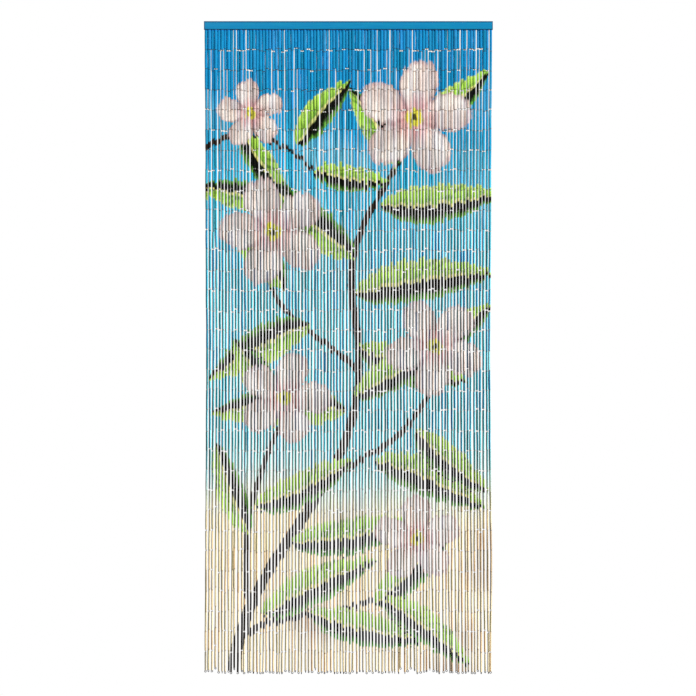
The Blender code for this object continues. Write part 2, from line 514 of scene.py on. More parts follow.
def tube_geometry(strands):
    """Vertices, faces, uvs and paint fields of every tube on these strands, as arrays."""
    rings = profile()
    count = len(strands) * T
    s = np.repeat(np.array(strands), T)
    k = np.tile(np.arange(T), len(strands))
    local = np.random.default_rng(1000 + strands[0])
    top = np.stack([upper_x[s, k], upper_y[s, k], tube_top[s, k]], -1)
    low = np.stack([lower_x[s, k], lower_y[s, k], tube_low[s, k]], -1)
    radius = width[s, k] / 2
    flare = taper[s, k]
    seed = local.random(count)
    turn = local.uniform(-0.30, 0.30, count) + np.where(local.random(count) < 0.03, local.uniform(-0.7, 0.7, count), 0)
    bow = local.uniform(-1, 1, (count, 2)) * 0.00035
    oval = local.uniform(0.0, 0.045, count)
    oval_turn = local.uniform(0, math.pi, count)
    slant = local.uniform(-1, 1, (count, 2, 2)) * 0.00035
    knot = local.random(count) < 0.10
    knot_at = local.integers(2, WALL_BANDS - 1, count)
    knot_size = local.uniform(0.03, 0.09, count)
    drop_at = local.uniform(-1, 1, count)          # paint run from tube to tube

    # Polygons are a little narrower than their circle
    angle = np.arange(SIDES)[None, :] / SIDES * 2 * math.pi + local.uniform(0, 2 * math.pi / SIDES, count)[:, None]
    radius = radius * 1.020
    verts, along_all, inside_all, ring_all = [], [], [], []
    length = top[:, 2] - low[:, 2]
    for number, (kind, t) in enumerate(rings):
        tt = np.full(count, t)
        swell = np.ones(count)
        if kind == "wall" and 0 < t < 1:
            step = int(round(t * WALL_BANDS))
            near = knot & (np.abs(knot_at - step) == 1)
            centre = knot_at / WALL_BANDS
            tt = np.where(near, centre + np.sign(step - knot_at) * 0.0022 / length, tt)
            swell = np.where(knot & (knot_at == step), 1 + knot_size, swell)
            swell = np.where(near, 1.0 - 0.02, swell)
        r = radius * (1 + flare * (2 * tt - 1)) * swell
        if kind != "wall":
            r = r * BORE_SHARE
        centre = low + (top - low) * tt[:, None]
        centre[:, :2] += bow * np.sin(math.pi * tt)[:, None]
        rr = r[:, None] * (1 + oval[:, None] * np.cos(2 * (angle - oval_turn[:, None])))
        x = centre[:, 0:1] + rr * np.cos(angle)
        y = centre[:, 1:2] + rr * np.sin(angle)
        z = np.repeat(centre[:, 2:3], SIDES, 1)
        if t in (0.0, 1.0):
            end = slant[:, int(t)]
            z = z + (end[:, 0:1] * np.cos(angle) + end[:, 1:2] * np.sin(angle)) * rr / radius[:, None]
        if kind == "floor":
            z = z + (BORE_DEPTH if t == 0.0 else -BORE_DEPTH)
        verts.append(np.stack([x, y, z], -1))
        along_all.append(np.repeat(tt[:, None], SIDES, 1))
        # how far into the bore: the material paints the floor dark as painted shade
        inside_all.append(np.full((count, SIDES), {"floor": 1.0, "mouth": 0.35, "wall": 0.0}[kind]))
        ring_all.append(np.full((count, SIDES), number))
    verts = np.stack(verts, 1)                      # tube, ring, side, xyz
    along = np.stack(along_all, 1)
    inside = np.stack(inside_all, 1)
    ring = np.stack(ring_all, 1)
    caps = np.stack([verts[:, 0].mean(1), verts[:, -1].mean(1)], 1)
    R = len(rings)
    per = R * SIDES + 2
    co = np.concatenate([verts.reshape(count, -1, 3), caps], 1)

    def with_caps(grid, first, last):
        flat = grid.reshape(count, -1)
        return np.concatenate([flat, np.full((count, 1), first), np.full((count, 1), last)], 1)

    along = with_caps(along, 0.0, 1.0)
    inside = with_caps(inside, 1.0, 1.0)
    ring = with_caps(ring, -1, R)
    facing = -np.sin(angle + turn[:, None])          # 1 on the painted side
    facing = with_caps(np.repeat(facing[:, None, :], R, 1), 0.0, 0.0)
    side = with_caps(np.repeat(np.cos(angle + turn[:, None])[:, None, :], R, 1), 0.0, 0.0)    # 1 on the right
    coat = np.repeat(local.random(count)[:, None], per, 1)
    seeds = np.repeat(seed[:, None], per, 1)
    # faces of one tube
    quads = []
    for a in range(R - 1):
        for i in range(SIDES):
            j = (i + 1) % SIDES
            quads.append((a * SIDES + i, a * SIDES + j, (a + 1) * SIDES + j, (a + 1) * SIDES + i))
    quads = np.array(quads)
    first, last = R * SIDES, R * SIDES + 1
    tris = [(first, (i + 1) % SIDES, i) for i in range(SIDES)]
    base = (R - 1) * SIDES
    tris += [(base + i, base + (i + 1) % SIDES, last) for i in range(SIDES)]
    tris = np.array(tris)

    # uvs of one tube in its own unit cell: u round it, v along it
    v_of = np.interp(np.arange(R), [0, 1, 2, R - 3, R - 2, R - 1], [0.020, 0.045, 0.070, 0.930, 0.955, 0.980])
    quad_uv, tri_uv = [], []
    for a in range(R - 1):
        for i in range(SIDES):
            u0, u1 = i / SIDES, (i + 1) / SIDES
            quad_uv.append(((u0, v_of[a]), (u1, v_of[a]), (u1, v_of[a + 1]), (u0, v_of[a + 1])))
    for i in range(SIDES):
        u0, u1 = i / SIDES, (i + 1) / SIDES
        tri_uv.append((((u0 + u1) / 2, 0.0), (u1, v_of[0]), (u0, v_of[0])))
    for i in range(SIDES):
        u0, u1 = i / SIDES, (i + 1) / SIDES
        tri_uv.append(((u0, v_of[-1]), (u1, v_of[-1]), ((u0 + u1) / 2, 1.0)))
    quad_uv, tri_uv = np.array(quad_uv), np.array(tri_uv)
    columns = 24
    rows = math.ceil(count / columns)
    cell = np.stack([np.arange(count) % columns, np.arange(count) // columns], -1)
    inset = np.array([0.05, 0.012])
    scale = np.array([1 / columns, 1 / rows])

    def placed(uv):
        uv = inset + uv * (1 - 2 * inset)
        return (cell[:, None, None, :] + uv[None]) * scale

    quad_uv, tri_uv = placed(quad_uv), placed(tri_uv)

    # The paint follows the whole picture, a little out of step from tube to tube
    x, z = co[..., 0], co[..., 2]
    step = (stray_z[s, k] * 1.1 + drop_at * 0.0048)[:, None]
    xp, zp = x, z + step
    g = ground_colour(xp, zp)
    ld, lu, lv, lt = leaf_fields(xp, zp)
    sd = stem_distance(xp, zp)
    br, bx, bz, bt = bloom_fields(xp, zp)
    fields = {
        "ground": g,
        "leaf": np.stack([np.clip(ld, -0.06, 0.06), lu, lv], -1),
        "stem": np.stack([np.clip(sd, -0.06, 0.06), lt, bt], -1),
        "bloom": np.stack([np.clip(br, 0, 3), bx, bz], -1),
        "tube": np.stack([along, seeds, inside], -1),
        "coat": np.stack([facing, side, coat], -1),
    }
    fields = {name: value.reshape(-1, 3) for name, value in fields.items()}
    shift = (np.arange(count) * per)[:, None, None]
    return {
        "co": co.reshape(-1, 3),
        "quads": (quads[None] + shift).reshape(-1, 4),
        "tris": (tris[None] + shift).reshape(-1, 3),
        "quad_uv": quad_uv.reshape(-1, 4, 2),
        "tri_uv": tri_uv.reshape(-1, 3, 2),
        "fields": fields,
        "ring": ring.reshape(-1),
        "sharp": {0, 1, 2, R - 3, R - 2, R - 1},
    }


def mesh_from(name, co, quads, tris, quad_uv, tri_uv):
    """A mesh from whole arrays of corners, with the map that its finish is laid on."""
    me = bpy.data.meshes.new(name)
    me.vertices.add(len(co))
    me.vertices.foreach_set("co", co.astype(np.float32).ravel())
    corners = np.concatenate([quads.ravel(), tris.ravel()]) if len(tris) else quads.ravel()
    sizes = np.concatenate([np.full(len(quads), 4), np.full(len(tris), 3)])
    starts = np.concatenate([[0], np.cumsum(sizes)[:-1]])
    me.loops.add(len(corners))
    me.loops.foreach_set("vertex_index", corners.astype(np.int32))
    me.polygons.add(len(sizes))
    me.polygons.foreach_set("loop_start", starts.astype(np.int32))
    me.update(calc_edges=True)
    me.polygons.foreach_set("use_smooth", np.ones(len(sizes), bool))
    layer = me.uv_layers.new(name="OFBake", do_init=False)
    uv = np.concatenate([quad_uv.reshape(-1, 2), tri_uv.reshape(-1, 2)]) if len(tris) else quad_uv.reshape(-1, 2)
    layer.uv.foreach_set("vector", uv.astype(np.float32).ravel())
    me.validate(verbose=False)
    return me


def link_piece(name, me, material, node):
    ob = bpy.data.objects.new(name, me)
    bpy.context.scene.collection.objects.link(ob)
    me.materials.append(material)
    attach(ob, "root")
    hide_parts(node)
    return ob


# ================================================================== materials
class Nodes:
    """A short way to write a material's nodes."""

    def __init__(self, name):
        self.mat = bpy.data.materials.new(name)
        self.mat.use_nodes = True
        self.tree = self.mat.node_tree
        self.tree.nodes.clear()
        self.out = self.tree.nodes.new("ShaderNodeOutputMaterial")
        self.bsdf = self.tree.nodes.new("ShaderNodeBsdfPrincipled")
        self.tree.links.new(self.bsdf.outputs[0], self.out.inputs["Surface"])

    def set(self, socket, value):
        if isinstance(value, bpy.types.NodeSocket):
            self.tree.links.new(value, socket)
        elif isinstance(value, (tuple, list, np.ndarray)):
            value = tuple(float(v) for v in value)
            if len(value) == 3 and len(socket.default_value) == 4:
                value = (*value, 1.0)
            socket.default_value = value
        else:
            socket.default_value = value

    def attribute(self, name):
        node = self.tree.nodes.new("ShaderNodeAttribute")
        node.attribute_name = name
        return node

    def parts(self, vector):
        node = self.tree.nodes.new("ShaderNodeSeparateXYZ")
        self.set(node.inputs[0], vector)
        return node.outputs[0], node.outputs[1], node.outputs[2]

    def join(self, x, y, z):
        node = self.tree.nodes.new("ShaderNodeCombineXYZ")
        for socket, value in zip(node.inputs, (x, y, z)):
            self.set(socket, value)
        return node.outputs[0]

    def place(self):
        return self.tree.nodes.new("ShaderNodeTexCoord").outputs["Object"]

    def scaled(self, vector, factors, shift=None):
        node = self.tree.nodes.new("ShaderNodeVectorMath")
        node.operation = "MULTIPLY"
        self.set(node.inputs[0], vector)
        node.inputs[1].default_value = factors
        if shift is None:
            return node.outputs[0]
        more = self.tree.nodes.new("ShaderNodeVectorMath")
        more.operation = "ADD"
        self.tree.links.new(node.outputs[0], more.inputs[0])
        self.set(more.inputs[1], shift)
        return more.outputs[0]

    def noise(self, vector, scale=1.0, detail=2.0, rough=0.5, distort=0.0):
        node = self.tree.nodes.new("ShaderNodeTexNoise")
        self.set(node.inputs["Vector"], vector)
        node.inputs["Scale"].default_value = scale
        node.inputs["Detail"].default_value = detail
        node.inputs["Roughness"].default_value = rough
        node.inputs["Distortion"].default_value = distort
        return node.outputs[0]

    def math(self, operation, a, b=0.0, c=None, clamp=False):
        node = self.tree.nodes.new("ShaderNodeMath")
        node.operation = operation
        node.use_clamp = clamp
        self.set(node.inputs[0], a)
        self.set(node.inputs[1], b)
        if c is not None:
            self.set(node.inputs[2], c)
        return node.outputs[0]

    def ramp(self, value, low, high, to_low=0.0, to_high=1.0, smooth=True):
        node = self.tree.nodes.new("ShaderNodeMapRange")
        node.interpolation_type = "SMOOTHSTEP" if smooth else "LINEAR"
        self.set(node.inputs["Value"], value)
        node.inputs["From Min"].default_value = low
        node.inputs["From Max"].default_value = high
        node.inputs["To Min"].default_value = to_low
        node.inputs["To Max"].default_value = to_high
        return node.outputs["Result"]

    def mix(self, share, a, b, blend="MIX"):
        node = self.tree.nodes.new("ShaderNodeMix")
        node.data_type = "RGBA"
        node.blend_type = blend
        self.set(node.inputs[0], share)
        self.set(node.inputs[6], a)
        self.set(node.inputs[7], b)
        return node.outputs[2]

    def bump(self, height, distance, strength=1.0):
        node = self.tree.nodes.new("ShaderNodeBump")
        node.inputs["Strength"].default_value = strength
        node.inputs["Distance"].default_value = distance
        self.set(node.inputs["Height"], height)
        self.tree.links.new(node.outputs[0], self.bsdf.inputs["Normal"])

    def finish(self, colour, roughness, metallic=0.0, specular=0.5):
        self.set(self.bsdf.inputs["Base Color"], colour)
        self.set(self.bsdf.inputs["Roughness"], roughness)
        self.bsdf.inputs["Metallic"].default_value = metallic
        self.bsdf.inputs["Specular IOR Level"].default_value = specular
        return self.mat


def cane_paint():
    n = Nodes("painted_cane")
    place = n.place()
    x, y, z = n.parts(place)
    along, seed, inside = n.parts(n.attribute("tube").outputs["Vector"])
    facing, side, coat = n.parts(n.attribute("coat").outputs["Vector"])
    ground = n.attribute("ground").outputs["Vector"]
    leaf_d, leaf_u, leaf_v = n.parts(n.attribute("leaf").outputs["Vector"])
    stem_d, leaf_tone, bloom_tone = n.parts(n.attribute("stem").outputs["Vector"])
    bloom_r, bx, bz = n.parts(n.attribute("bloom").outputs["Vector"])
    own = n.join(n.math("MULTIPLY", seed, 37.0), n.math("MULTIPLY", seed, 91.0), n.math("MULTIPLY", seed, 53.0))

    # Patterns: long fibres of the cane, brush streaks, spray edge, blotches
    fibre = n.noise(n.scaled(place, (1500.0, 1500.0, 38.0), own), 1.0, 3.0, 0.62)
    streak = n.noise(n.scaled(place, (420.0, 420.0, 26.0), own), 1.0, 3.0, 0.55)
    edge = n.noise(n.scaled(place, (150.0, 150.0, 95.0)), 1.0, 3.0, 0.6)
    blotch = n.noise(n.scaled(place, (34.0, 34.0, 16.0), own), 1.0, 2.0, 0.5)
    rough_edge = n.math("MULTIPLY", n.math("SUBTRACT", edge, 0.5), 0.016)

    # Bare cane
    cane = n.mix(n.ramp(fibre, 0.30, 0.72), srgb(172, 132, 84), srgb(222, 192, 142))
    cane = n.mix(n.math("MULTIPLY", n.ramp(blotch, 0.52, 0.75), 0.35), cane, srgb(146, 108, 66))

    # Upper tubes: some took the blue paler and greyer, some greener
    upper = n.ramp(z, -0.52, -0.24)
    ground = n.mix(n.math("MULTIPLY", n.ramp(seed, 0.62, 0.98), n.math("MULTIPLY", upper, 0.42)), ground, srgb(50, 126, 184))
    ground = n.mix(n.math("MULTIPLY", n.ramp(seed, 0.34, 0.02), n.math("MULTIPLY", upper, 0.42)), ground, srgb(0, 124, 164))

    # At mid height the right flank, the side towards the key light, gets a painted highlight: the paint is mixed
    # towards pale cyan
    flank = n.math("ADD", n.math("MULTIPLY", side, -1.0), n.math("MULTIPLY", n.math("SUBTRACT", streak, 0.5), 0.5))
    middle = n.math("MULTIPLY", n.ramp(z, -0.40, -0.90), n.ramp(z, -1.56, -1.36))
    painted_highlight = n.math("MULTIPLY", n.ramp(n.math("MULTIPLY_ADD", middle, 0.26, flank), -0.20, -0.62), n.math("MULTIPLY", middle, n.ramp(z, -0.80, -1.20, 0.44, 0.66)))
    ground = n.mix(painted_highlight, ground, srgb(176, 238, 252))

    # Stems
    stem_colour = n.mix(n.ramp(streak, 0.35, 0.65), srgb(13, 14, 15), srgb(52, 43, 36))
    stem_mask = n.ramp(n.math("ADD", stem_d, n.math("MULTIPLY", rough_edge, 0.6)), 0.0016, -0.0024)
    paint = n.mix(stem_mask, ground, stem_colour)

    # Leaves: a pale rib, one half lime, the other in deep shade that turns green again at its edge
    across = n.math("ADD", leaf_v, n.math("MULTIPLY", n.math("SUBTRACT", edge, 0.5), 0.45))
    lime = n.mix(leaf_tone, srgb(110, 172, 58), srgb(168, 212, 84))
    lit_leaf = n.mix(n.ramp(across, 0.02, 0.55), n.mix(0.45, lime, srgb(66, 124, 50)), lime)
    lit_leaf = n.mix(n.math("MULTIPLY", n.ramp(across, 0.62, 0.95), 0.55), lit_leaf, srgb(216, 222, 150))
    green_leaf = n.mix(leaf_tone, srgb(44, 112, 44), srgb(98, 164, 62))
    dark_leaf = n.mix(n.ramp(across, -0.50, -0.88), srgb(4, 8, 8), green_leaf)
    leaf_colour = n.mix(n.ramp(across, -0.10, 0.10), dark_leaf, lit_leaf)
    slant = n.math("MULTIPLY_ADD", n.math("ABSOLUTE", leaf_v), -2.2, n.math("MULTIPLY", leaf_u, 11.0))
    veins = n.noise(n.join(slant, n.math("MULTIPLY", leaf_v, 0.5), n.math("MULTIPLY", leaf_tone, 7.0)), 1.0, 2.0, 0.6)
    lit_side = n.ramp(across, -0.08, 0.12, 0.10, 0.60)
    leaf_colour = n.mix(n.math("MULTIPLY", n.ramp(veins, 0.52, 0.64), lit_side), leaf_colour, srgb(40, 90, 42))
    rib = n.math("MULTIPLY", n.ramp(n.math("ABSOLUTE", leaf_v), 0.13, 0.05), n.ramp(leaf_u, 0.97, 0.80))
    leaf_colour = n.mix(n.math("MULTIPLY", rib, 0.85), leaf_colour, srgb(210, 206, 130))
    leaf_mask = n.ramp(n.math("ADD", leaf_d, rough_edge), 0.0022, -0.0030)
    paint = n.mix(leaf_mask, paint, leaf_colour)

    # Blossoms: five broad petals in the blossom's own frame
    theta = n.math("ARCTAN2", bz, bx)
    swirl = n.math("MULTIPLY_ADD", bloom_r, 0.22, n.math("MULTIPLY", theta, 2.5))
    lobe = n.math("ABSOLUTE", n.math("COSINE", swirl))
    reach = n.math("MULTIPLY_ADD", n.math("POWER", lobe, 0.62), 0.56, 0.42)
    out_by = n.math("SUBTRACT", bloom_r, n.math("MULTIPLY_ADD", n.math("SUBTRACT", edge, 0.5), 0.13, reach))
    petal_mask = n.math("MULTIPLY", n.ramp(out_by, 0.022, -0.030), n.ramp(bloom_r, 1.30, 1.20))
    turned = n.math("SINE", n.math("MULTIPLY", swirl, 2.0))
    petal_veins = n.noise(n.join(n.math("MULTIPLY", theta, 9.0), n.math("MULTIPLY", bloom_r, 1.6), 0.0), 1.0, 2.0, 0.6)
    petal = n.mix(n.ramp(turned, -0.9, 0.9), srgb(200, 184, 181), srgb(229, 217, 213))
    petal = n.mix(n.math("MULTIPLY", n.ramp(petal_veins, 0.48, 0.68), 0.35), petal, srgb(182, 158, 156))
    petal = n.mix(n.math("MULTIPLY", n.ramp(lobe, 0.46, 0.10), 0.72), petal, srgb(150, 126, 128))
    petal = n.mix(n.math("MULTIPLY", n.ramp(bloom_r, 0.52, 0.16), 0.62), petal, srgb(208, 138, 142))
    petal = n.mix(n.math("SUBTRACT", 1.0, bloom_tone), petal, srgb(150, 126, 128))
    petal = n.mix(n.math("MULTIPLY", n.ramp(out_by, -0.100, -0.030), 0.55), petal, srgb(182, 144, 150))
    heart = n.ramp(n.math("ADD", bloom_r, n.math("MULTIPLY", rough_edge, 3.0)), 0.175, 0.125)
    petal = n.mix(heart, petal, srgb(204, 196, 70))
    eye = n.ramp(n.math("ADD", bloom_r, n.math("MULTIPLY", rough_edge, 2.0)), 0.070, 0.045)
    petal = n.mix(eye, petal, srgb(70, 66, 28))
    paint = n.mix(petal_mask, paint, petal)

    # Uneven coats: streaks, blotches and a tone of its own for every tube
    tone = n.math("MULTIPLY_ADD", n.ramp(streak, 0.25, 0.75, smooth=False), 0.22, 0.86)
    tone = n.math("MULTIPLY", tone, n.math("MULTIPLY_ADD", n.ramp(blotch, 0.3, 0.7), 0.14, 0.92))
    tone = n.math("MULTIPLY", tone, n.math("MULTIPLY_ADD", seed, 0.16, 0.92))
    warm = n.mix(coat, (1.03, 0.97, 0.88), (0.93, 0.99, 1.02))
    paint = n.mix(1.0, paint, n.mix(1.0, warm, n.join(tone, tone, tone), "MULTIPLY"), "MULTIPLY")

    # Painted shade on the left flank, the side away from the key light: the paint is multiplied down by dull brown,
    # grey and blue tints
    apart = n.ramp(z, -0.06, -0.72, 0.03, 1.0, smooth=False)      # where the strands hang apart the flanks show
    plain = n.math("SUBTRACT", 1.0, n.math("MULTIPLY", n.math("MAXIMUM", leaf_mask, petal_mask), 0.7))
    shifted = n.math("MULTIPLY_ADD", n.math("MULTIPLY", middle, plain), 0.26, flank)
    thin = n.math("MULTIPLY", n.ramp(shifted, -0.30, 0.08), n.math("MULTIPLY_ADD", seed, 0.18, 0.82))
    thin = n.math("MULTIPLY", thin, apart)
    shade_tint = n.mix(n.ramp(coat, 0.05, 0.45), (0.31, 0.21, 0.16), (0.21, 0.24, 0.19))
    shade_tint = n.mix(n.ramp(coat, 0.55, 0.95), shade_tint, (0.18, 0.19, 0.26))
    shade_tint_by_height = n.mix(n.ramp(z, -1.44, -1.34), (1.0, 1.0, 1.0), (0.62, 1.06, 1.40))
    shade_tint_by_height = n.mix(1.0, shade_tint_by_height, n.mix(n.ramp(z, -0.40, -0.80), (1.0, 1.0, 1.0), (0.66, 0.66, 0.66)), "MULTIPLY")
    shade_tint_by_height = n.mix(1.0, shade_tint_by_height, n.mix(n.ramp(z, -1.00, -1.25), (1.0, 1.0, 1.0), (0.72, 0.72, 0.72)), "MULTIPLY")
    shade_tint_by_height = n.mix(n.ramp(z, -1.40, -1.52), shade_tint_by_height, (1.0, 1.0, 1.0))
    shade_tint = n.mix(1.0, shade_tint, shade_tint_by_height, "MULTIPLY")
    paint = n.mix(thin, paint, n.mix(1.0, paint, shade_tint, "MULTIPLY"))

    # Painted shadow under the rail: the first few millimetres of the top tubes are darkened to a deep blue
    rail_shadow = n.ramp(z, RAIL_BOTTOM_Z - 0.0040, RAIL_BOTTOM_Z - 0.0016)
    paint = n.mix(rail_shadow, paint, n.mix(1.0, paint, (0.05, 0.88, 1.36), "MULTIPLY"))

    # The spray came from the front: thin past the sides, nearly bare behind
    cover = n.ramp(n.math("ADD", facing, n.math("MULTIPLY", n.math("SUBTRACT", streak, 0.5), 0.6)), -0.80, -0.42)
    cover = n.math("MULTIPLY_ADD", cover, 0.715, 0.28)
    chips = n.noise(n.scaled(place, (700.0, 700.0, 240.0), own), 1.0, 2.0, 0.55)
    to_end = n.math("MINIMUM", along, n.math("SUBTRACT", 1.0, along))
    worn = n.math("MULTIPLY", n.ramp(to_end, 0.022, 0.004), n.ramp(chips, 0.56, 0.64))
    scuff = n.math("MULTIPLY", n.ramp(chips, 0.735, 0.77), 0.6)
    cover = n.math("MULTIPLY", cover, n.math("SUBTRACT", 1.0, n.math("MAXIMUM", worn, scuff)))
    colour = n.mix(cover, cane, paint)
    # Darker in a narrow band at each tube's ends, by the joints
    ends_darker = n.math("MULTIPLY", n.ramp(to_end, 0.022, 0.010), n.ramp(chips, 0.30, 0.60, 0.45, 0.85))
    colour = n.mix(ends_darker, colour, n.mix(1.0, colour, (0.34, 0.27, 0.22), "MULTIPLY"))

    # Sawn ends in a lighter cane tone, and painted shade in the bore: its shallow floor and inner wall are painted
    # near-black brown
    colour = n.mix(n.ramp(inside, 0.0, 0.30), colour, n.mix(0.35, srgb(206, 178, 132), colour))
    colour = n.mix(n.ramp(inside, 0.36, 1.0), colour, srgb(46, 32, 22))

    rough = n.math("MULTIPLY_ADD", streak, 0.22, 0.34)
    rough = n.math("MULTIPLY_ADD", n.math("SUBTRACT", 1.0, cover), 0.14, rough)
    height = n.math("MULTIPLY_ADD", fibre, 0.65, n.math("MULTIPLY", streak, 0.55))
    height = n.math("MULTIPLY_ADD", cover, 0.18, height)
    n.bump(height, 0.00022, 0.75)
    return n.finish(colour, rough, specular=0.06)


def wire_metal():
    n = Nodes("wire")
    place = n.place()
    patch = n.noise(n.scaled(place, (260.0, 260.0, 180.0)), 1.0, 3.0, 0.6)
    fine = n.noise(n.scaled(place, (1900.0, 1900.0, 1900.0)), 1.0, 2.0, 0.6)
    colour = n.mix(n.ramp(patch, 0.35, 0.68), srgb(30, 29, 30), srgb(58, 56, 58))
    colour = n.mix(n.math("MULTIPLY", n.ramp(patch, 0.60, 0.76), 0.50), colour, srgb(86, 62, 46))
    colour = n.mix(n.math("MULTIPLY", n.ramp(fine, 0.5, 0.8), 0.35), colour, srgb(30, 29, 30))
    rough = n.math("MULTIPLY_ADD", fine, 0.22, 0.44)
    return n.finish(colour, rough, 0.80)


def rail_paint():
    n = Nodes("rail_paint")
    place = n.place()
    x, y, z = n.parts(place)
    grain = n.noise(n.scaled(place, (9.0, 260.0, 260.0)), 1.0, 4.0, 0.6, 0.3)
    brush = n.noise(n.scaled(place, (14.0, 620.0, 620.0)), 1.0, 3.0, 0.55)
    cloud = n.noise(n.scaled(place, (22.0, 60.0, 60.0)), 1.0, 3.0, 0.55)
    speck = n.noise(n.scaled(place, (900.0, 900.0, 900.0)), 1.0, 2.0, 0.6)
    colour = n.mix(n.ramp(brush, 0.30, 0.72), srgb(4, 114, 161), srgb(8, 124, 170))
    colour = n.mix(n.math("MULTIPLY", n.ramp(cloud, 0.42, 0.66), 0.40), colour, srgb(4, 126, 160))
    colour = n.mix(n.math("MULTIPLY", n.ramp(grain, 0.55, 0.75), 0.35), colour, srgb(4, 101, 150))
    # Darker along the top edge and towards the ends, and painted shade along the lower edge, which faces down
    near_top = n.ramp(z, RAIL_TOP_Z - 0.0056, RAIL_TOP_Z - 0.0030)
    near_end = n.ramp(n.math("ABSOLUTE", x), RAIL_WIDTH / 2 - 0.0040, RAIL_WIDTH / 2 - 0.0012)
    shaded_low_edge = n.ramp(z, RAIL_BOTTOM_Z + 0.0030, RAIL_BOTTOM_Z + 0.0010)
    dark = n.math("MAXIMUM", n.math("MAXIMUM", near_top, near_end), n.math("MULTIPLY", shaded_low_edge, 1.0))
    colour = n.mix(n.math("MULTIPLY", dark, 0.90), colour, srgb(3, 70, 102))
    wood = n.mix(n.ramp(grain, 0.35, 0.7), srgb(178, 138, 92), srgb(212, 180, 132))
    worn = n.math("MULTIPLY", n.ramp(speck, 0.66, 0.72), dark)
    back = n.math("MULTIPLY", n.ramp(y, -0.0006, -0.0001), n.ramp(grain, 0.40, 0.60, 0.35, 0.95))
    colour = n.mix(n.math("MAXIMUM", n.math("MULTIPLY", worn, 0.6), back), colour, wood)
    rough = n.math("MULTIPLY_ADD", brush, 0.20, 0.34)
    n.bump(n.math("MULTIPLY_ADD", brush, 0.6, n.math("MULTIPLY", grain, 0.5)), 0.00025, 0.7)
    return n.finish(colour, rough, specular=0.14)


CANE = cane_paint()
WIRE = wire_metal()
RAIL = rail_paint()


# ===================================================================== pieces
def make_tubes(number, strands):
    data = tube_geometry(strands)
    name = f"cane_tubes_{number:02d}"
    me = mesh_from(name, data["co"], data["quads"], data["tris"], data["quad_uv"], data["tri_uv"])
    for key, value in data["fields"].items():
        me.attributes.new(key, "FLOAT_VECTOR", "POINT").data.foreach_set("vector", value.astype(np.float32).ravel())
    ends = np.empty(len(me.edges) * 2, np.int32)
    me.edges.foreach_get("vertices", ends)
    ends = data["ring"][ends].reshape(-1, 2)
    sharp = (ends[:, 0] == ends[:, 1]) & np.isin(ends[:, 0], list(data["sharp"]))
    me.edges.foreach_set("use_edge_sharp", sharp)
    return link_piece(name, me, CANE, "strand_comb")


def ring_table(strands):
    """Every wire ring on these strands: centre, half width, half height, wire radius, turn, which end is narrow and
    whether its joint hangs open."""
    local = np.random.default_rng(5000 + strands[0])
    rows = []
    for s in strands:
        shrink = np.clip(width[s] / 0.0075, 0.78, 1.1)
        turn = local.uniform(0, math.pi, T + 1)
        half = LINK_HIGH - LINK_WIRE
        # staple eye under the rail, and the first tube's ring in it
        mid = (RAIL_BOTTOM_Z + tube_top[s, 0]) / 2
        x, y = upper_x[s, 0], upper_y[s, 0]
        rows.append((x, y, mid + half, LINK_WIDE, LINK_HIGH, LINK_WIRE, turn[0], 1.0, 0.0))
        rows.append((x, y, mid - half, LINK_WIDE, LINK_HIGH, LINK_WIRE, turn[0] + math.pi / 2, -1.0, 0.0))
        for k in range(1, T):
            mid = (tube_low[s, k - 1] + tube_top[s, k]) / 2
            spread = 1 + (tube_low[s, k - 1] - tube_top[s, k]) / 0.020
            xu, yu = lower_x[s, k - 1], lower_y[s, k - 1]
            xl, yl = upper_x[s, k], upper_y[s, k]
            wide = LINK_WIDE * shrink[k]
            a = 0.75
            is_open = float(gap[s, k] > SHUT_GAP[1])
            rows.append((xu * a + xl * (1 - a), yu * a + yl * (1 - a), mid + half * spread,
                         wide, LINK_HIGH * spread, LINK_WIRE, turn[k], 1.0, is_open))
            rows.append((xl * a + xu * (1 - a), yl * a + yu * (1 - a), mid - half * spread,
                         wide, LINK_HIGH * spread, LINK_WIRE, turn[k] + math.pi / 2, -1.0, is_open))
    return np.array(rows)


def tubes_along(paths, radius, sides):
    """Corners of round wires along many paths of the same number of points."""
    ahead = np.gradient(paths, axis=1)
    ahead /= np.linalg.norm(ahead, axis=2, keepdims=True)
    flat = np.cross(paths[:, 3] - paths[:, 0], paths[:, len(paths[0]) // 2] - paths[:, 0])
    flat = flat / np.linalg.norm(flat, axis=1, keepdims=True)
    side = np.cross(ahead, flat[:, None, :])
    side /= np.linalg.norm(side, axis=2, keepdims=True)
    other = np.cross(ahead, side)
    chi = np.arange(sides) / sides * 2 * math.pi
    return (paths[:, :, None, :] + radius * (side[:, :, None, :] * np.cos(chi)[:, None]
                                             + other[:, :, None, :] * np.sin(chi)[:, None]))


